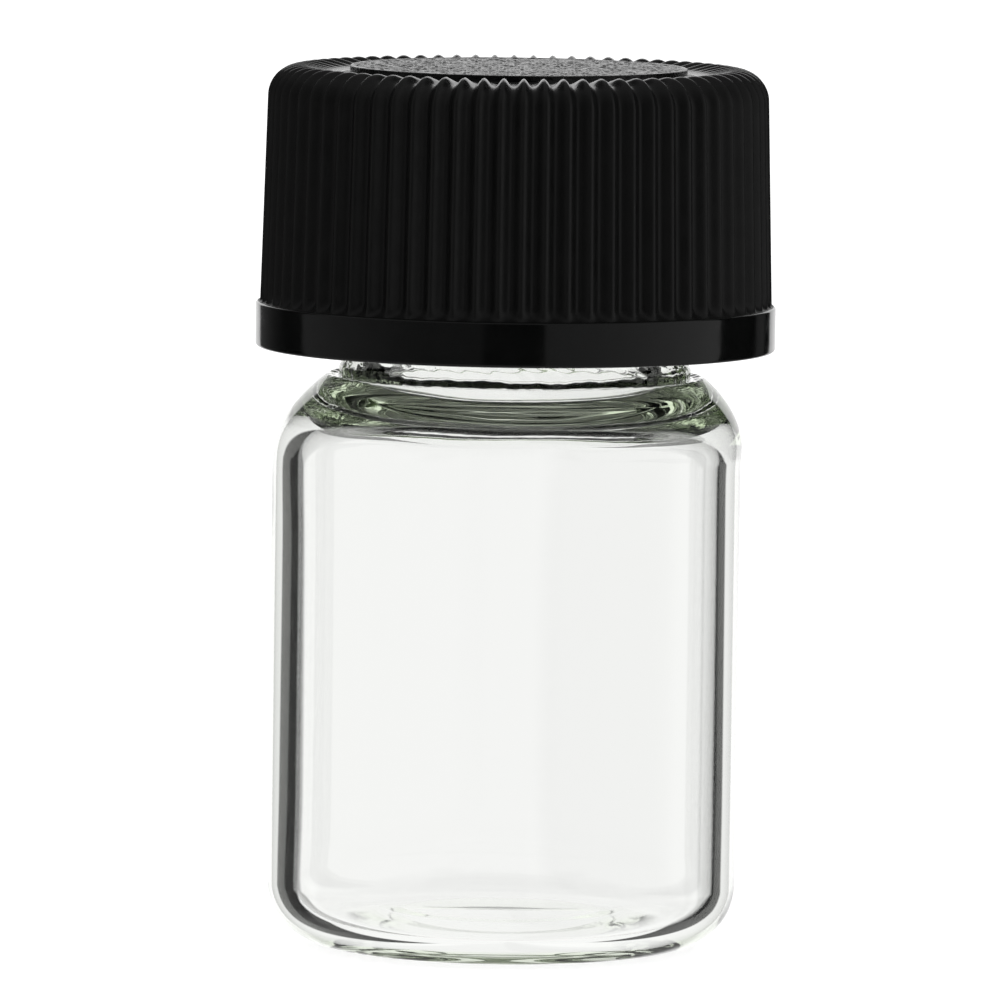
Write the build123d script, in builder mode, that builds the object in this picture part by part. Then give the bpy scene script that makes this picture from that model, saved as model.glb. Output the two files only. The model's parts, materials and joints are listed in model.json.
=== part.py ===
from build123d import *
from math import acos, asin, cos, degrees, radians
import os

# Small sample vial: a clear glass tube with a rounded shoulder and a threaded neck, closed by a ribbed
# plastic screw cap that holds a two-layer sealing disc. Millimetres. +Z is up the axis of the vial, and
# the origin is at the centre of the base, on the plane that the vial stands on. The cap is screwed down.

# Glass body
body_radius = 9.2
body_wall = 1.05
heel_radius = 2.4
inner_heel = 1.7
bearing_radius = 5.0  # inner edge of the flat ring that the vial stands on
punt_height = 0.45  # rise of the hollow under the base
floor_height = 1.4  # inside floor, beside the heel
floor_rise = 0.3  # the floor is a shallow dome over the hollow

# Shoulder: a tight bend, then a wider one, then a small hollow fillet into the neck
shoulder_start = 19.35
bend_radius = 3.0
bend_angle = 34
slope_radius = 6.0
neck_fillet = 0.35
throat_fillet = 1.5

# Neck finish, with a single right-hand thread of eight turns to the inch
neck_radius = 6.75
bore_radius = 5.0
rim_height = 31.9
rim_fillet = 0.45
thread_pitch = 3.175
thread_turns = 1.25
thread_radius = 7.85
glass_thread_top = 30.4
glass_thread_root = 1.5
glass_thread_crest = 0.7

# Screw cap
cap_bottom = 23.5
cap_height = 11.0
band_radius = 10.2
band_height = 1.75
rib_count = 70
rib_depth = 0.33
rib_radius_low = 10.04
rib_radius_high = 9.82
rim_bend_radius = 1.25
rim_rise = 0.12  # the ribbed rim stands this far above the centre disc
rim_slope = 12
disc_radius = 6.55
channel_depth = 0.32
channel_width = 0.45
cap_bore_radius = 8.05
cap_ceiling = 33.0
cap_lead_in = 0.3
cap_thread_drop = 1.2  # the cap thread sits this far below the glass thread
cap_thread_reach = 6.95
cap_thread_root = 1.4
cap_thread_crest = 0.7

# Sealing liner
liner_radius = 7.9
facing_thickness = 0.2

root_overlap = 0.15  # threads start this far inside the wall that carries them
end_inset = 0.04  # the rounded thread ends are this much slimmer and lower than the ridge
thread_ends = (0.002, 0.998)  # where they stand, as shares of the thread's length
thread_height = thread_pitch * thread_turns
cap_top = cap_bottom + cap_height
channel_floor = cap_top - channel_depth


def slope_end(outer, inner, bend, slope, fillet_size):
    """Angle at which the shoulder's wide bend meets the fillet that turns it straight up the neck."""
    reach = inner - outer + bend + (slope - bend) * cos(radians(bend_angle)) + fillet_size
    return degrees(acos(reach / (slope + fillet_size)))


def thread_profile(path, root, crest, reach):
    """Section of a thread ridge at the start of its helix; a negative reach points it inwards."""
    with BuildSketch(Plane(origin=path @ 0, x_dir=(1, 0, 0), z_dir=path % 0)) as profile:
        Polygon((0, -root / 2), (reach, -crest / 2), (reach, crest / 2), (0, root / 2), align=None)
    return profile.sketch


# Glass vial: one revolved wall, then the thread
wide_angle = slope_end(body_radius, neck_radius, bend_radius, slope_radius, neck_fillet)
inner_radius = body_radius - body_wall
inner_bend = bend_radius - body_wall
inner_slope = slope_radius - body_wall
throat_angle = slope_end(inner_radius, bore_radius, inner_bend, inner_slope, throat_fillet)
glass_thread_foot = glass_thread_top - thread_height
neck_root = neck_radius - root_overlap

with BuildPart() as glass_vial:
    with BuildSketch(Plane.XZ):
        with BuildLine():
            punt = TangentArc((0, punt_height), (bearing_radius, 0), tangent=(1, 0))
            ring = Line(punt @ 1, (body_radius - heel_radius, 0))
            heel = JernArc(start=ring @ 1, tangent=(1, 0), radius=heel_radius, arc_size=90)
            side = Line(heel @ 1, (body_radius, shoulder_start))
            bend = JernArc(start=side @ 1, tangent=(0, 1), radius=bend_radius, arc_size=bend_angle)
            slope = JernArc(
                start=bend @ 1, tangent=bend % 1, radius=slope_radius, arc_size=wide_angle - bend_angle
            )
            turn = JernArc(start=slope @ 1, tangent=slope % 1, radius=neck_fillet, arc_size=-wide_angle)
            neck = Line(turn @ 1, (neck_radius, rim_height - rim_fillet))
            lip = JernArc(start=neck @ 1, tangent=(0, 1), radius=rim_fillet, arc_size=90)
            land = Line(lip @ 1, (bore_radius + rim_fillet, rim_height))
            mouth = JernArc(start=land @ 1, tangent=(-1, 0), radius=rim_fillet, arc_size=90)
            floor = TangentArc(
                (0, floor_height + floor_rise), (inner_radius - inner_heel, floor_height), tangent=(1, 0)
            )
            inner_corner = TangentArc(floor @ 1, (inner_radius, floor_height + inner_heel), tangent=floor % 1)
            wall = Line(inner_corner @ 1, (inner_radius, shoulder_start))
            inner_turn = JernArc(start=wall @ 1, tangent=(0, 1), radius=inner_bend, arc_size=bend_angle)
            inner_rise = JernArc(
                start=inner_turn @ 1,
                tangent=inner_turn % 1,
                radius=inner_slope,
                arc_size=throat_angle - bend_angle,
            )
            throat = JernArc(
                start=inner_rise @ 1, tangent=inner_rise % 1, radius=throat_fillet, arc_size=-throat_angle
            )
            Line(throat @ 1, mouth @ 1)
            Line((0, punt_height), (0, floor_height + floor_rise))
        make_face()
    revolve(axis=Axis.Z)
    with BuildLine() as glass_helix:
        Helix(
            pitch=thread_pitch, height=thread_height, radius=neck_root, center=(0, 0, glass_thread_foot)
        )
    glass_ridge = thread_profile(
        glass_helix.line, glass_thread_root, glass_thread_crest, thread_radius - neck_root
    )
    sweep(sections=glass_ridge, path=glass_helix.line, is_frenet=True)
    for end in thread_ends:
        centre = glass_helix.line @ end
        with Locations(Plane(origin=centre, z_dir=(centre.X, centre.Y, 0)).location):
            Cone(
                bottom_radius=glass_thread_root / 2 - end_inset,
                top_radius=glass_thread_crest / 2 - end_inset,
                height=thread_radius - neck_root - end_inset,
                align=(Align.CENTER, Align.CENTER, Align.MIN),
            )
glass_vial.part.label = "glass_vial"

# One groove between two ribs: it runs up the side, over the rounded rim and out into the channel
rib_foot = cap_bottom + band_height
rim_start = cap_top + rim_rise - rim_bend_radius
draft_angle = degrees(asin((rib_radius_low - rib_radius_high) / (rim_start - rib_foot)))
rim_turn = 90 - draft_angle + rim_slope

with BuildPart() as groove:
    with BuildLine(Plane.XZ) as groove_path:
        groove_side = Line((rib_radius_low, rib_foot), (rib_radius_high, rim_start))
        groove_rim = JernArc(
            start=groove_side @ 1, tangent=groove_side % 1, radius=rim_bend_radius, arc_size=rim_turn
        )
        Line(groove_rim @ 1, (disc_radius + channel_width, cap_top + rib_depth - 0.05))
    with BuildSketch(Plane(origin=groove_path.line @ 0, z_dir=groove_path.line % 0)):
        Circle(rib_depth)
    sweep(path=groove_path.line)

# Screw cap: a revolved shell, the grooves cut from it, then the internal thread
cap_thread_foot = glass_thread_foot - cap_thread_drop
cap_root = cap_bore_radius + root_overlap

with BuildPart() as screw_cap:
    with BuildSketch(Plane.XZ):
        with BuildLine():
            lead = Line(
                (cap_bore_radius, cap_bottom + cap_lead_in), (cap_bore_radius + cap_lead_in, cap_bottom)
            )
            foot = Line(lead @ 1, (band_radius, cap_bottom))
            band = Line(foot @ 1, (band_radius, rib_foot))
            ledge = Line(band @ 1, (rib_radius_low, rib_foot))
            ribs = Line(ledge @ 1, (rib_radius_high, rim_start))
            rim = JernArc(start=ribs @ 1, tangent=ribs % 1, radius=rim_bend_radius, arc_size=rim_turn)
            dip = Line(rim @ 1, (disc_radius + channel_width, channel_floor))
            channel = Line(dip @ 1, (disc_radius, channel_floor))
            step = Line(channel @ 1, (disc_radius, cap_top))
            disc = Line(step @ 1, (0, cap_top))
            axis_line = Line(disc @ 1, (0, cap_ceiling))
            ceiling = Line(axis_line @ 1, (cap_bore_radius, cap_ceiling))
            Line(ceiling @ 1, lead @ 0)
        make_face()
    revolve(axis=Axis.Z)
    with PolarLocations(0, rib_count):
        add(groove.part, mode=Mode.SUBTRACT)
    with BuildLine() as cap_helix:
        Helix(pitch=thread_pitch, height=thread_height, radius=cap_root, center=(0, 0, cap_thread_foot))
    cap_ridge = thread_profile(
        cap_helix.line, cap_thread_root, cap_thread_crest, cap_thread_reach - cap_root
    )
    sweep(sections=cap_ridge, path=cap_helix.line, is_frenet=True)
    for end in thread_ends:
        centre = cap_helix.line @ end
        with Locations(Plane(origin=centre, z_dir=(-centre.X, -centre.Y, 0)).location):
            Cone(
                bottom_radius=cap_thread_root / 2 - end_inset,
                top_radius=cap_thread_crest / 2 - end_inset,
                height=cap_root - cap_thread_reach - end_inset,
                align=(Align.CENTER, Align.CENTER, Align.MIN),
            )
screw_cap.part.label = "screw_cap"

# Liner: a soft backing disc under the cap's ceiling, and the thin film that meets the glass rim
facing_top = rim_height + facing_thickness

with BuildPart() as liner_backing:
    with BuildSketch(Plane.XY.offset(facing_top)):
        Circle(liner_radius)
    extrude(amount=cap_ceiling - facing_top)
liner_backing.part.label = "liner_backing"

with BuildPart() as liner_facing:
    with BuildSketch(Plane.XY.offset(rim_height)):
        Circle(liner_radius)
    extrude(amount=facing_thickness)
liner_facing.part.label = "liner_facing"

os.makedirs("parts", exist_ok=True)
export_step(glass_vial.part, "parts/glass_vial.step")
export_step(screw_cap.part, "parts/screw_cap.step")
export_step(liner_backing.part, "parts/liner_backing.step")
export_step(liner_facing.part, "parts/liner_facing.step")
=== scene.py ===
import json
import math

import bpy
import numpy as np
from mathutils import Matrix, Vector


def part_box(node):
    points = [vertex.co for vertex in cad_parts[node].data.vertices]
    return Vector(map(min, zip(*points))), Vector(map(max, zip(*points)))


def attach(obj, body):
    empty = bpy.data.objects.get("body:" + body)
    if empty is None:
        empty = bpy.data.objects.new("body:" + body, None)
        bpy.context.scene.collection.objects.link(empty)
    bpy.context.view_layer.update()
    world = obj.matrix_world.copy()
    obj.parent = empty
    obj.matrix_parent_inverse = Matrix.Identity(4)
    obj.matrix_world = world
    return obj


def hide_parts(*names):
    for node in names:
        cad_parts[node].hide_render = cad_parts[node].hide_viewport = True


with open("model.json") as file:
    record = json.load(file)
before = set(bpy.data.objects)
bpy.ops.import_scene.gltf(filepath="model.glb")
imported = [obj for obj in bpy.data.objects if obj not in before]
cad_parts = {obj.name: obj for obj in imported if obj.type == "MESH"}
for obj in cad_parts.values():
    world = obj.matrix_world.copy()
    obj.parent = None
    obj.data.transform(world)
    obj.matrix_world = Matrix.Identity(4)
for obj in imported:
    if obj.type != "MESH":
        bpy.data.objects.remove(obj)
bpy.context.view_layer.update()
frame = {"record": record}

# Sizes are in millimetres until a mesh is made, and come from the CAD frame where it holds them.
MM = 0.001


def cad_box(node):
    """Lowest and highest corner of a CAD node, in millimetres."""
    low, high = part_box(node)
    return low / MM, high / MM


glass_high = cad_box("glass_vial")[1]
cap_low, cap_high = cad_box("screw_cap")
backing_low, backing_high = cad_box("liner_backing")
facing_low, facing_high = cad_box("liner_facing")
body_mount = next(mount for mount in frame["record"]["mounts"] if mount["name"] == "body")

body_radius = body_mount["dims"]["r_mm"]
heel_height = body_mount["pos_m"][2] / MM
shoulder_start = heel_height + body_mount["dims"]["length_mm"]
rim_height = glass_high.z
band_radius = cap_high.x
cap_bottom = cap_low.z
crest_height = cap_high.z


# ---------------------------------------------------------------- profiles
def arc(centre, radius, start, end, count):
    """Points of an arc in the (r, z) plane, from start to end in degrees."""
    angles = np.radians(np.linspace(start, end, count))
    return np.column_stack([centre[0] + radius * np.cos(angles), centre[1] + radius * np.sin(angles)])


def line(start, end, count):
    """Evenly spaced points from start to end, both included."""
    share = np.linspace(0, 1, count)[:, None]
    return np.asarray(start) * (1 - share) + np.asarray(end) * share


def chain(*parts):
    """One profile from several, without the points that repeat."""
    points = np.vstack(parts)
    keep = np.ones(len(points), bool)
    keep[1:] = np.linalg.norm(np.diff(points, axis=0), axis=1) > 1e-5
    return points[keep]


def smooth(value, low, high):
    """0 below low and 1 above high, with a smooth rise between."""
    t = np.clip((value - low) / (high - low), 0, 1)
    return t * t * (3 - 2 * t)


def between(value, comes, goes):
    """0 before the first span and after the second, 1 from one to the other, and smooth in both."""
    return smooth(value, *comes) * (1 - smooth(value, *goes))


# ---------------------------------------------------------------- lathe meshes
def around(columns):
    """Evenly spaced angles of a full turn, as one row."""
    return np.linspace(0, 2 * math.pi, columns, endpoint=False)[None, :]


def ring_points(theta, r, z):
    """One ring of points for each row of r and z."""
    return np.stack(np.broadcast_arrays(r * np.cos(theta), r * np.sin(theta), z), axis=-1).reshape(-1, 3)


def bands(rows, columns, first=0):
    """Quads between successive rings of vertices."""
    ring = np.arange(columns)
    nxt = (ring + 1) % columns
    faces = []
    for row in range(rows - 1):
        low = first + row * columns
        high = low + columns
        faces.extend(zip(low + ring, low + nxt, high + nxt, high + ring))
    return faces


def fan(first, columns, pole):
    """Triangles that close a ring of vertices with one pole."""
    ring = np.arange(columns)
    return list(zip(first + ring, first + (ring + 1) % columns, np.full(columns, pole)))


def flipped(faces):
    """The same faces, seen from their other side."""
    return [face[::-1] for face in faces]


def mesh_object(name, points_mm, faces, materials=None):
    """A smooth-shaded mesh object from millimetre points; materials gives each face its slot."""
    mesh = bpy.data.meshes.new(name)
    mesh.from_pydata((np.asarray(points_mm) * MM).tolist(), [], [tuple(int(i) for i in f) for f in faces])
    mesh.polygons.foreach_set("use_smooth", [True] * len(mesh.polygons))
    if materials is not None:
        mesh.polygons.foreach_set("material_index", materials)
    mesh.validate()
    mesh.update()
    obj = bpy.data.objects.new(name, mesh)
    bpy.context.scene.collection.objects.link(obj)
    return obj


def lathe(name, profile, columns, shape):
    """Turns a profile that starts and ends on the axis; shape returns x, y, z for angle, r and z grids."""
    grid = np.stack(np.broadcast_arrays(*shape(around(columns), profile[:, :1], profile[:, 1:])), axis=-1)
    rings = grid[1:-1]
    poles = grid[[0, -1]].mean(axis=1)
    foot = len(rings) * columns
    faces = bands(len(rings), columns)
    faces += flipped(fan(0, columns, foot))
    faces += fan(foot - columns, columns, foot + 1)
    return mesh_object(name, np.vstack([rings.reshape(-1, 3), poles]), faces)


# ---------------------------------------------------------------- glass vial
# Outside: two bends and a fillet lead from the body to the neck, and the base has a shallow push-up.
bend_radius, bend_angle, slope_radius, neck_fillet = 3.0, 34, 6.0, 0.5
neck_radius, neck_foot, rim_fillet = 6.75, 24.0, 0.45
bearing_radius, punt_height = 6.1, 0.45
# Inside: a bore, a full shoulder, and a floor with a raised middle and a moat round it.
bore_radius, inner_radius = 5.0, 8.26
inner_start, inner_bend, inner_angle, inner_slope, inner_fillet = 19.2, 1.8, 68, 4.0, 2.2
floor_height, floor_rise, step_radius, step_reach = 1.11, 0.12, 4.35, 0.32
moat_height, moat_ridge, inner_heel = 0.92, 4.4, 1.5
# The body stands off the neck's axis up to the shoulder, and the inside stands off the outside.
body_offset, offset_fades, inside_offset = -0.29, (18.5, 22.5), 0.04
# One helical ridge of thread; glass_thread holds the widths of its crest and its root.
thread_pitch, thread_turns, thread_radius, glass_thread_top = 3.175, 1.25, 7.85, 30.4
glass_thread = (0.7, 1.5)
# The crease where the neck was pressed into the shoulder.
crease_height, crease_width, crease_depth = 22.6, 0.1, 0.26
# Waves of the surface: each has a height, a number round the glass, a slant and a phase.
drawn_waves = ((0.006, 2, 0, 0.6), (0.0036, 3, 0.11, 2.1))
flame_waves = ((0.008, 5, 1.7, 0), (0.005, 9, -2.3, 1.0))
crease_waves = ((0.012, 7, 0, 0.4), (0.010, 23, 0, 2.0), (0.008, 61, 0, 0))
streak_waves = ((0.006, 38, 14, 0), (0.004, 71, 9, 1.3))
inside_share = -1.3  # of the outside's waves, so that the wall's thickness varies
glass_columns = 384
# Heights over which each kind of wave comes and goes.
drawn_heights = ((2.0, 6.0), (16.0, 19.5))
flame_heights = ((19.0, 21.5), (24.0, 26.0))
streak_heights = ((crease_height, crease_height + 0.3), (24.5, 25.5))


def waves(theta, z, terms):
    """Sum of cosine waves round the glass."""
    return sum(height * np.cos(count * theta + slant * z + phase) for height, count, slant, phase in terms)


def thread_ridge(theta, z, foot, widths):
    """Height, from 0 to 1, of a helical ridge with rounded ends that starts at angle 0 and height foot."""
    total = 2 * math.pi * thread_turns
    best = np.zeros(np.broadcast(theta, z).shape)
    for turn in range(math.ceil(thread_turns)):
        along = theta + 2 * math.pi * turn
        held = np.minimum(along, total)
        climb = z - foot - thread_pitch * held / (2 * math.pi)
        distance = np.hypot(climb, neck_radius * (along - held))
        best = np.maximum(best, 1 - smooth(distance, widths[0] / 2, widths[1] / 2))
    past = np.hypot(z - foot, neck_radius * (2 * math.pi - theta))
    return np.maximum(best, 1 - smooth(past, widths[0] / 2, widths[1] / 2))


def shoulder(height, outer, inner, bend, slope, fillet, turn):
    """The wall's turn from the body into the neck: a tight bend, a wide one and a hollow fillet."""
    start = math.radians(turn)
    reach = inner - outer + bend + (slope - bend) * math.cos(start) + fillet
    end = math.acos(reach / (slope + fillet))
    first = (outer - bend, height)
    second = (first[0] + (bend - slope) * math.cos(start), first[1] + (bend - slope) * math.sin(start))
    third = (second[0] + (slope + fillet) * math.cos(end), second[1] + (slope + fillet) * math.sin(end))
    return chain(
        arc(first, bend, 0, turn, 28),
        arc(second, slope, turn, math.degrees(end), 34),
        arc(third, fillet, 180 + math.degrees(end), 180, 30),
    )


def glass_floor():
    """The inner floor, from the inner heel in to the axis."""
    edge = inner_radius - inner_heel
    r = np.linspace(edge, 0, 90)
    bank = 1 - smooth(r, moat_ridge, edge)
    dome = 1 - smooth(r, step_radius - step_reach, step_radius + step_reach)
    return np.column_stack([r, moat_height + (floor_height - moat_height) * bank + floor_rise * dome])


def glass_profile():
    """Outer wall from the middle of the base up to the rim, then the inner wall down to the floor."""
    r = np.linspace(0, bearing_radius, 36)
    punt = np.column_stack([r, punt_height * (0.5 + 0.5 * np.cos(math.pi * r / bearing_radius))])
    heel = arc((body_radius - heel_height, heel_height), heel_height, -90, 0, 34)
    outer = shoulder(
        shoulder_start, body_radius, neck_radius, bend_radius, slope_radius, neck_fillet, bend_angle
    )
    lip = arc((neck_radius - rim_fillet, rim_height - rim_fillet), rim_fillet, 0, 90, 12)
    mouth = arc((bore_radius + rim_fillet, rim_height - rim_fillet), rim_fillet, 90, 180, 12)
    inner = shoulder(
        inner_start, inner_radius, bore_radius, inner_bend, inner_slope, inner_fillet, inner_angle
    )
    corner = arc((inner_radius - inner_heel, moat_height + inner_heel), inner_heel, 0, -90, 26)
    return chain(
        punt,
        line((bearing_radius, 0), (body_radius - heel_height, 0), 5),
        heel,
        line((body_radius, heel_height), (body_radius, shoulder_start), 40),
        outer,
        line(outer[-1], (neck_radius, rim_height - rim_fillet), 110),
        lip,
        line(lip[-1], mouth[0], 4),
        mouth,
        line(mouth[-1], inner[-1], 40),
        inner[::-1],
        line(inner[0], (inner_radius, moat_height + inner_heel), 40),
        corner,
        glass_floor(),
    )


def glass_shape(theta, r, z):
    """Grids of the glass surface: thread outside, and the small unevenness of drawn and flamed glass."""
    top = int(np.argmax(z > rim_height - 1e-6))
    outside = np.arange(len(r))[:, None] < top + 2
    on_neck = outside & (z > neck_foot) & (z < rim_height - rim_fillet)
    ridge = thread_ridge(theta, z, glass_thread_top - thread_pitch * thread_turns, glass_thread)
    radius = r + np.where(on_neck, (thread_radius - neck_radius) * ridge, 0)

    drawn = waves(theta, z, drawn_waves) * between(z, *drawn_heights)
    flamed = waves(theta, z, flame_waves) * between(z, *flame_heights)
    radius = radius + np.where(outside, 1.0, inside_share) * (drawn + flamed)

    wander = waves(theta, z, crease_waves)
    crease = np.exp(-(((z - crease_height - wander) / crease_width) ** 2)) * (crease_depth + wander)
    streaks = waves(theta, z, streak_waves) * between(z, *streak_heights)
    radius = radius - np.where(outside, crease - streaks, 0)
    shift = body_offset * (1 - smooth(z, *offset_fades)) + np.where(outside, 0.0, inside_offset)
    return radius * np.cos(theta) + shift, radius * np.sin(theta), z - np.where(outside, crease, 0)


# ---------------------------------------------------------------- screw cap
rib_count, rib_columns, rib_phase, valley_power = 70, 12, -0.068, 0.85
rib_low, rib_high, rib_depth = 10.04, 9.82, 0.34  # crest radius at the foot and at the rim, valley depth
rib_foot = (-0.05, 0.4)  # heights over the band where the valleys between the ribs deepen
band_height, band_edge, band_lip, band_gap = 1.75, 0.12, 0.1, 0.03
rim_bend, rim_end, crest_drop, valley_fade = 1.25, 104, 0.05, 0.1
wall_rows, rim_rows, side_rows = 40, 26, 18  # side_rows of the rim's bend still count as the side
disc_radius, disc_height, disc_edge, disc_hub, disc_rows = 6.6, crest_height - 0.05, 0.05, 0.05, 130
disc_grain, grain_cell, grain_seed, grain_margin = 0.07, 0.14, 18, (0.1, 0.2)
channel_depth, channel_width, channel_rows = 0.32, 0.45, 6  # the groove round the disc
channel_corner, disc_toe, disc_draft, sliver = 0.06, 0.08, 0.02, 0.01
cap_bore, cap_ceiling, ceiling_fillet = 8.05, backing_high.z, 0.2
lead_in, lead_lip = 0.3, 0.05
cap_thread, cap_thread_reach, cap_thread_drop = (0.7, 1.4), 6.95, 1.2
inside_step = 3  # columns of the outside to one of the inside
RIBS, BAND, DISC = 0, 1, 2


def cap_outside():
    """Profile of the outside over the rib crests, with each row's push into the valleys and its material."""
    foot = cap_bottom + band_height
    start = crest_height - crest_drop - rim_bend
    lean = math.degrees(math.atan((rib_low - rib_high) / (start - foot)))
    channel = disc_radius + channel_width
    floor = disc_height - channel_depth
    edge_foot = disc_height - disc_edge
    band = chain(
        arc((band_radius - band_edge, cap_bottom + band_edge), band_edge, -90, 0, 5),
        line((band_radius, cap_bottom + band_edge), (band_radius, foot - band_lip), 6),
        arc((band_radius - band_lip, foot - band_lip), band_lip, 0, 80, 6),
    )
    rim = arc((rib_high - rim_bend, start), rim_bend, lean, rim_end, rim_rows)
    ribs = chain(
        line((rib_low, foot + band_gap), rim[0], wall_rows),
        rim,
        line(rim[-1], (channel, floor), 10),
    )
    disc = chain(
        line((channel - channel_corner, floor - sliver), (disc_radius + disc_toe, floor), 4),
        line((disc_radius + disc_draft, floor + disc_edge), (disc_radius, edge_foot - sliver), 4),
        arc((disc_radius - disc_edge, edge_foot), disc_edge, 0, 90, 5),
        line((disc_radius - 2 * disc_edge, disc_height), (disc_hub, disc_height), disc_rows),
    )
    along = np.gradient(ribs, axis=0)
    along /= np.linalg.norm(along, axis=1)[:, None]
    inward = np.column_stack([-along[:, 1], along[:, 0]])
    depth = rib_depth * smooth(ribs[:, 1] - foot, *rib_foot)
    over_top = np.arange(len(ribs)) >= wall_rows + side_rows
    depth *= np.where(over_top, smooth(ribs[:, 0], channel, rib_high - rim_bend + valley_fade), 1)
    profile = np.vstack([band, ribs, disc])
    push = np.zeros_like(profile)
    push[len(band) : len(band) + len(ribs)] = inward * depth[:, None]
    material = [BAND] * len(band) + [RIBS] * len(ribs)
    material += [BAND] * channel_rows + [DISC] * (len(disc) - channel_rows)
    return profile, push, material


def cap_inside():
    """Profile from the lead-in chamfer up the threaded bore and in along the ceiling."""
    mouth = cap_bore + lead_in
    return chain(
        line((mouth + lead_lip, cap_bottom), (mouth, cap_bottom + 0.2 * lead_lip), 2),
        line((mouth - 0.4 * lead_lip, cap_bottom + 0.4 * lead_lip), (cap_bore, cap_bottom + lead_in), 5),
        line((cap_bore, cap_bottom + lead_in), (cap_bore, cap_ceiling - ceiling_fillet), 96),
        arc((cap_bore - ceiling_fillet, cap_ceiling - ceiling_fillet), ceiling_fillet, 0, 90, 5),
        line((cap_bore - 2 * ceiling_fillet, cap_ceiling), (2 * ceiling_fillet, cap_ceiling), 6),
    )


def uneven(x, y, cell):
    """Smooth random heights from 0 to 1, on a square grid of cells."""
    count = 2 * math.ceil(disc_radius / cell) + 4
    table = np.random.default_rng(grain_seed).random((count, count))
    across, along = x / cell + count / 2, y / cell + count / 2
    column = np.clip(np.floor(across), 0, count - 2).astype(int)
    row = np.clip(np.floor(along), 0, count - 2).astype(int)
    u, v = smooth(across - column, 0, 1), smooth(along - row, 0, 1)
    low = table[row, column] * (1 - u) + table[row, column + 1] * u
    high = table[row + 1, column] * (1 - u) + table[row + 1, column + 1] * u
    return low * (1 - v) + high * v


def ribbed_points(theta, profile, push, on_disc):
    """Points of the cap's outside: ribs cut into the profile, and the moulded grain of the disc."""
    front = theta + math.pi / 2 - rib_phase
    valley = (0.5 - 0.5 * np.cos(rib_count * front)) ** valley_power
    r = profile[:, :1] + push[:, :1] * valley
    z = profile[:, 1:] + push[:, 1:] * valley
    grained = on_disc[:, None] * smooth(disc_radius - profile[:, :1], *grain_margin)
    z = z - disc_grain * grained * uneven(r * np.cos(theta), r * np.sin(theta), grain_cell)
    return ring_points(theta, r, z)


def threaded_points(theta, profile):
    """Points of the cap's inside, with its ridge of thread standing into the bore."""
    foot = glass_thread_top - thread_pitch * thread_turns - cap_thread_drop
    ridge = thread_ridge(theta, profile[:, 1:], foot, cap_thread)
    in_bore = (profile[:, :1] > cap_bore - sliver) & (profile[:, 1:] > cap_bottom + lead_in + 0.1)
    r = profile[:, :1] - np.where(in_bore, (cap_bore - cap_thread_reach) * ridge, 0)
    return ring_points(theta, r, profile[:, 1:])


def build_cap():
    """One closed shell: a finely divided ribbed outside joined to a coarser threaded inside."""
    profile, push, row_material = cap_outside()
    columns = rib_count * rib_columns
    outside = ribbed_points(around(columns), profile, push, np.array(row_material) == DISC)
    faces = bands(len(profile), columns)
    materials = [row_material[row + 1] for row in range(len(profile) - 1) for _ in range(columns)]

    inside = cap_inside()
    coarse = columns // inside_step
    threaded = threaded_points(around(coarse), inside)
    base = len(outside)
    top = base + len(threaded)
    faces += flipped(bands(len(inside), coarse, base))
    materials += [BAND] * ((len(inside) - 1) * coarse)

    faces += fan(base - columns, columns, top)
    materials += [DISC] * columns
    faces += flipped(fan(top - coarse, coarse, top + 1))
    ring = np.arange(coarse)
    outer = [(inside_step * ring + k) % columns for k in range(inside_step, -1, -1)]
    faces += list(zip(base + ring, base + (ring + 1) % coarse, *outer))
    materials += [BAND] * (2 * coarse)
    poles = [[0, 0, disc_height], [0, 0, cap_ceiling]]
    return mesh_object("ribbed_cap", np.vstack([outside, threaded, poles]), faces, materials)


# ---------------------------------------------------------------- liner
backing_edge, facing_edge, facing_dent, liner_columns = 0.12, 0.04, 0.05, 256


def liner_disc(name, low, high, edge, dent):
    """A soft-edged disc between two heights, with the ring that the glass rim presses into its face."""
    radius = high.x
    r = np.linspace(0, radius - edge, 90)
    middle = (neck_radius + bore_radius) / 2
    width = (neck_radius - bore_radius) / 2
    comes, goes = (middle - width, middle - width / 2), (middle + width / 2, middle + width)
    profile = chain(
        np.column_stack([r, low.z + dent * between(r, comes, goes)]),
        arc((radius - edge, low.z + edge), edge, -90, 0, 6),
        arc((radius - edge, high.z - edge), edge, 0, 90, 6),
        line((radius - edge, high.z), (0, high.z), 6),
    )
    return lathe(name, profile, liner_columns, lambda theta, r, z: (r * np.cos(theta), r * np.sin(theta), z))


# ---------------------------------------------------------------- node helpers
def add(tree, kind, **values):
    """A new node with its attributes set."""
    node = tree.nodes.new(kind)
    for key, value in values.items():
        setattr(node, key, value)
    return node


def feed(tree, socket, value):
    """Links a socket to an output, or sets it to a number or colour."""
    if isinstance(value, bpy.types.NodeSocket):
        tree.links.new(value, socket)
    else:
        socket.default_value = value


def math_node(tree, operation, *values):
    """The result of a math operation on numbers or outputs."""
    node = add(tree, "ShaderNodeMath", operation=operation)
    for socket, value in zip(node.inputs, values):
        feed(tree, socket, value)
    return node.outputs[0]


def rise(tree, value, low, high, floor=0.0, top=1.0):
    """floor below low, top above high, and a smooth rise between."""
    node = add(tree, "ShaderNodeMapRange", interpolation_type="SMOOTHSTEP")
    settings = {"Value": value, "From Min": low, "From Max": high, "To Min": floor, "To Max": top}
    for socket, number in settings.items():
        feed(tree, node.inputs[socket], number)
    return node.outputs["Result"]


def window(tree, value, low, high, edge):
    """1 between low and high and 0 outside, with both edges softened."""
    comes = rise(tree, value, low - edge, low + edge)
    goes = rise(tree, value, high - edge, high + edge, 1.0, 0.0)
    return math_node(tree, "MULTIPLY", comes, goes)


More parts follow.
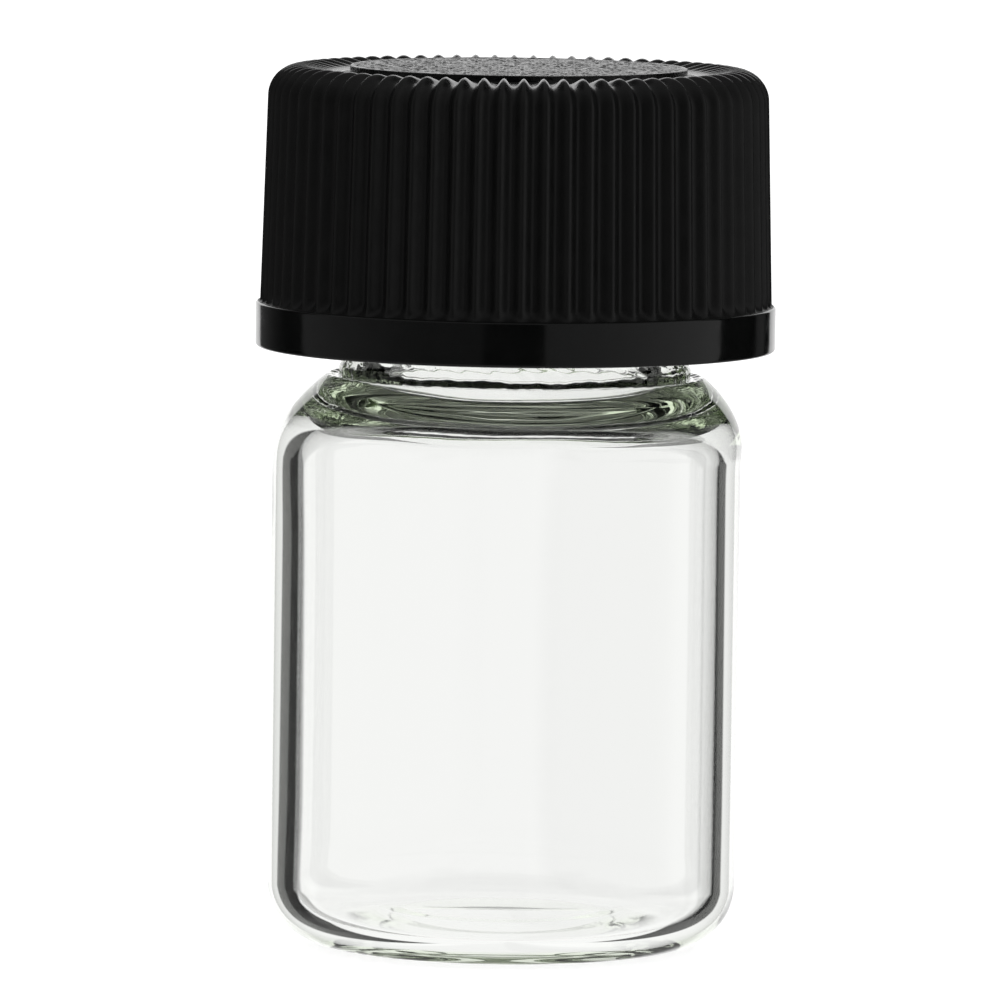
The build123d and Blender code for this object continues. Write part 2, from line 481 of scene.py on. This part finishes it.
def mix(tree, share, first, second):
    """first where share is 0 and second where it is 1."""
    node = add(tree, "ShaderNodeMix", data_type="FLOAT")
    feed(tree, node.inputs["Factor"], share)
    feed(tree, node.inputs["A"], first)
    feed(tree, node.inputs["B"], second)
    return node.outputs["Result"]


def ramp(tree, value, dark, light):
    """A colour from dark at 0 to light at 1."""
    node = add(tree, "ShaderNodeValToRGB")
    node.color_ramp.elements[0].color = (*dark, 1)
    node.color_ramp.elements[1].color = (*light, 1)
    tree.links.new(value, node.inputs["Fac"])
    return node.outputs["Color"]


def noise(tree, scale, detail=2.0, stretch=(1, 1, 1)):
    """Noise in the object's own space, scale in features per metre."""
    where = add(tree, "ShaderNodeTexCoord")
    mapping = add(tree, "ShaderNodeMapping")
    mapping.inputs["Scale"].default_value = stretch
    tree.links.new(where.outputs["Object"], mapping.inputs["Vector"])
    node = add(tree, "ShaderNodeTexNoise")
    tree.links.new(mapping.outputs["Vector"], node.inputs["Vector"])
    node.inputs["Scale"].default_value = scale
    node.inputs["Detail"].default_value = detail
    return node.outputs["Fac"]


def bump(tree, height, strength, distance):
    """A normal tilted by a height, with distance in metres."""
    node = add(tree, "ShaderNodeBump")
    node.inputs["Strength"].default_value = strength
    node.inputs["Distance"].default_value = distance
    tree.links.new(height, node.inputs["Height"])
    return node.outputs["Normal"]


def material(name):
    """A new material, its node tree, its Principled shader and its output."""
    made = bpy.data.materials.new(name)
    made.use_nodes = True
    tree = made.node_tree
    return made, tree, tree.nodes["Principled BSDF"], tree.nodes["Material Output"]


# ---------------------------------------------------------------- materials
def clear_glass():
    """Clear tube glass with a faint green body colour, drawn lines and a little handling haze."""
    made, tree, shader, output = material("clear_glass")
    shader.inputs["Base Color"].default_value = (1, 1, 1, 1)
    shader.inputs["Transmission Weight"].default_value = 1.0
    shader.inputs["IOR"].default_value = 1.517
    haze = rise(tree, noise(tree, scale=260, detail=4), 0.45, 0.8, floor=0.0, top=0.012)
    feed(tree, shader.inputs["Roughness"], haze)
    drawn = noise(tree, scale=700, detail=1, stretch=(1, 1, 0.02))
    feed(tree, shader.inputs["Normal"], bump(tree, drawn, strength=0.03, distance=0.00001))
    inside = add(tree, "ShaderNodeVolumeAbsorption")
    inside.inputs["Color"].default_value = (0.55, 0.76, 0.30, 1)
    inside.inputs["Density"].default_value = 18.0
    tree.links.new(inside.outputs["Volume"], output.inputs["Volume"])
    return made


def black_plastic(name, roughness, mottle, grain_scale, grain_depth, polish=None):
    """Moulded black plastic: roughness varies by mottle either way, and grain_scale is in features per metre.

    Where polish is given, it is the roughness that handling has left at the cap's top edge.
    """
    made, tree, shader, _ = material(name)
    colour = ramp(tree, noise(tree, scale=900, detail=3), (0.0012, 0.0013, 0.0013), (0.0036, 0.0038, 0.0037))
    tree.links.new(colour, shader.inputs["Base Color"])
    mottling = noise(tree, scale=1500, detail=4)
    level = rise(tree, mottling, 0.3, 0.7, roughness - mottle, roughness + mottle)
    if polish is not None:
        where = add(tree, "ShaderNodeTexCoord")
        axes = add(tree, "ShaderNodeSeparateXYZ")
        tree.links.new(where.outputs["Object"], axes.inputs[0])
        top = (crest_height - crest_drop) * MM
        handled = rise(tree, axes.outputs["Z"], top - 0.7 * MM, top - 0.1 * MM)
        level = mix(tree, handled, level, polish)
    feed(tree, shader.inputs["Roughness"], level)
    shader.inputs["IOR"].default_value = 1.5
    grain = noise(tree, scale=grain_scale, detail=3)
    feed(tree, shader.inputs["Normal"], bump(tree, grain, strength=1.0, distance=grain_depth))
    return made


def soft_foam():
    """Closed-cell foam of the liner's backing, with fine cells."""
    made, tree, shader, _ = material("liner_foam")
    cells = add(tree, "ShaderNodeTexVoronoi")
    cells.inputs["Scale"].default_value = 6500
    where = add(tree, "ShaderNodeTexCoord")
    tree.links.new(where.outputs["Object"], cells.inputs["Vector"])
    distance = cells.outputs["Distance"]
    tree.links.new(ramp(tree, distance, (0.80, 0.79, 0.76), (0.66, 0.65, 0.62)), shader.inputs["Base Color"])
    feed(tree, shader.inputs["Roughness"], rise(tree, distance, 0.0, 0.6, floor=0.75, top=0.95))
    feed(tree, shader.inputs["Normal"], bump(tree, distance, strength=0.5, distance=0.00003))
    return made


def facing_film():
    """Smooth white film of the liner's face, a little waxy, with faint scuffs."""
    made, tree, shader, _ = material("liner_film")
    colour = ramp(tree, noise(tree, scale=600, detail=4), (0.84, 0.84, 0.81), (0.90, 0.90, 0.88))
    tree.links.new(colour, shader.inputs["Base Color"])
    scuffs = rise(tree, noise(tree, scale=2400, detail=5), 0.35, 0.7, floor=0.28, top=0.48)
    feed(tree, shader.inputs["Roughness"], scuffs)
    shader.inputs["Subsurface Weight"].default_value = 0.15
    shader.inputs["Subsurface Radius"].default_value = (0.0006, 0.0006, 0.0005)
    grain = noise(tree, scale=5000, detail=2)
    feed(tree, shader.inputs["Normal"], bump(tree, grain, strength=0.4, distance=0.000006))
    return made


# ---------------------------------------------------------------- build the object
def show(piece, body, node):
    """Puts a finished piece on its CAD body, in place of the CAD node."""
    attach(piece, body)
    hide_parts(node)


vial = lathe("vial_glass", glass_profile(), glass_columns, glass_shape)
vial.data.materials.append(clear_glass())
show(vial, "vial", "glass_vial")

cap = build_cap()
for plastic in (
    black_plastic("cap_ribs", roughness=0.46, mottle=0.06, grain_scale=4200, grain_depth=4e-6, polish=0.15),
    black_plastic("cap_band", roughness=0.10, mottle=0.03, grain_scale=1800, grain_depth=1e-6),
    black_plastic("cap_grain", roughness=0.24, mottle=0.08, grain_scale=6000, grain_depth=4e-5),
):
    cap.data.materials.append(plastic)
show(cap, "cap", "screw_cap")

backing = liner_disc("liner_backing_disc", backing_low, backing_high, backing_edge, 0.0)
backing.data.materials.append(soft_foam())
show(backing, "liner", "liner_backing")

facing = liner_disc("liner_facing_film", facing_low, facing_high, facing_edge, facing_dent)
facing.data.materials.append(facing_film())
show(facing, "liner", "liner_facing")


# ---------------------------------------------------------------- stage, light and camera
floor_radii, floor_columns, floor_gap = (20, 60, 200, 800, 4000), 64, 0.1


def build_floor():
    """A plain pale floor that fades into the backdrop, seen only by the camera and by soft light."""
    rings = np.array(floor_radii)[:, None]
    points = np.vstack([[0, 0, -floor_gap], ring_points(around(floor_columns), rings, -floor_gap)])
    faces = flipped(fan(1, floor_columns, 0)) + bands(len(rings), floor_columns, 1)
    floor = mesh_object("floor", points, faces)
    made, _, shader, _ = material("pale_floor")
    shader.inputs["Base Color"].default_value = (0.9, 0.9, 0.9, 1)
    shader.inputs["Roughness"].default_value = 1.0
    shader.inputs["Specular IOR Level"].default_value = 0.0
    shader.inputs["Emission Color"].default_value = (1, 1, 1, 1)
    shader.inputs["Emission Strength"].default_value = 0.75
    floor.data.materials.append(made)
    floor.visible_transmission = False
    floor.visible_glossy = False


# The studio is set by direction, in degrees: turn is 0 straight behind the object and grows to its right,
# and lift is above the horizon.
def seen_through(tree, turn, lift):
    """Light that the glass lets through: pale all round, with a black flag beside each edge of the backdrop.

    The flags lean apart as they rise, and a slanted cut ends them over the white table. A weaker pair of
    flags stands in front of the object, and the backdrop has a slight fold near its middle.
    """
    white, fold, flag, front_flag, ceiling, middle = 1.0, 0.91, 0.03, 0.5, 0.65, 4.5
    light = rise(tree, math_node(tree, "ABSOLUTE", turn), 10, 14, floor=0.955, top=1.04)
    fold_comes, fold_goes = rise(tree, turn, 0.5, 1.2), rise(tree, turn, 6, 9, 1.0, 0.0)
    light = mix(tree, math_node(tree, "MULTIPLY", fold_comes, fold_goes), light, fold)

    aside = math_node(tree, "ABSOLUTE", math_node(tree, "SUBTRACT", turn, middle))
    lean = math_node(tree, "MAXIMUM", math_node(tree, "MULTIPLY_ADD", lift, 0.35, 2.45), -4.0)
    leaning = math_node(tree, "SUBTRACT", aside, lean)
    light = mix(tree, window(tree, leaning, 27, 54, edge=1.5), light, flag)
    light = mix(tree, window(tree, aside, 133, 153, edge=6), light, front_flag)

    slant = math_node(tree, "MULTIPLY_ADD", aside, -0.75, 20.0)
    table = rise(tree, math_node(tree, "ADD", lift, slant), -56, -52, 1.0, 0.0)
    light = mix(tree, table, light, white)
    return mix(tree, rise(tree, lift, 38, 50), light, ceiling)


def mirrored(tree, turn, lift):
    """Light that gloss mirrors: a soft box to each side in front, the backdrop and a weak spill beside it."""
    dark, table, ceiling = 0.005, 0.3, 0.2
    left_box = (window(tree, turn, -166, -71, edge=1), rise(tree, turn, -150, -70, floor=0.07, top=0.18))
    right_box = (window(tree, turn, 77, 167, edge=1), rise(tree, turn, 77, 167, floor=0.41, top=0.2))
    backdrop = (window(tree, turn, -23, 26, edge=1.5), 1.15)
    left_spill = (rise(tree, turn, -62, -20), rise(tree, turn, -23, -20, floor=0.09, top=0.0))
    right_spill = (window(tree, turn, 35, 46, edge=2), 0.07)
    light = dark
    for place, strength in (left_box, right_box, backdrop, left_spill, right_spill):
        light = math_node(tree, "ADD", light, math_node(tree, "MULTIPLY", place, strength))
    light = mix(tree, rise(tree, lift, -32, -20, 1.0, 0.0), light, table)
    return mix(tree, rise(tree, lift, 28, 52), light, ceiling)


def build_world():
    """Studio light, with its own brightness for the camera, for glass, for gloss and for soft light."""
    for_camera, for_soft_light = 1.05, 0.6
    world = bpy.data.worlds.new("studio")
    bpy.context.scene.world = world
    world.use_nodes = True
    tree = world.node_tree
    background = tree.nodes["Background"]
    path = add(tree, "ShaderNodeLightPath").outputs
    where = add(tree, "ShaderNodeTexCoord")
    axes = add(tree, "ShaderNodeSeparateXYZ")
    tree.links.new(where.outputs["Generated"], axes.inputs[0])
    turned = math_node(tree, "ARCTAN2", axes.outputs["X"], axes.outputs["Y"])
    turn = math_node(tree, "DEGREES", turned)
    lift = math_node(tree, "DEGREES", math_node(tree, "ARCSINE", axes.outputs["Z"]))

    strength = mix(tree, path["Is Glossy Ray"], for_soft_light, mirrored(tree, turn, lift))
    strength = mix(tree, path["Is Transmission Ray"], strength, seen_through(tree, turn, lift))
    strength = mix(tree, path["Is Camera Ray"], strength, for_camera)
    tree.links.new(strength, background.inputs["Strength"])
    background.inputs["Color"].default_value = (1, 1, 1, 1)


def build_camera():
    """A long lens a little above the object, at the height that shows a sliver of the cap's top."""
    distance, view_width, sensor_width = 0.45, 0.03929, 36
    elevation, roll = math.radians(5.3), math.radians(0.75)
    aim = Vector((-0.00052, 0, 0.01748))
    data = bpy.data.cameras.new("camera")
    data.sensor_width = sensor_width
    data.lens = sensor_width * distance / view_width
    data.clip_start, data.clip_end = 0.01, 20
    camera = bpy.data.objects.new("camera", data)
    bpy.context.scene.collection.objects.link(camera)
    back = Vector((0, -math.cos(elevation), math.sin(elevation)))
    turned = (-back).to_track_quat("-Z", "Y").to_matrix() @ Matrix.Rotation(roll, 3, "Z")
    camera.matrix_world = Matrix.Translation(aim + back * distance) @ turned.to_4x4()
    bpy.context.scene.camera = camera


build_floor()
build_world()
build_camera()
scene = bpy.context.scene
scene.view_settings.view_transform = "Standard"
scene.cycles.max_bounces = 48
scene.cycles.transmission_bounces = 48
scene.cycles.glossy_bounces = 24
scene.cycles.use_denoising = True
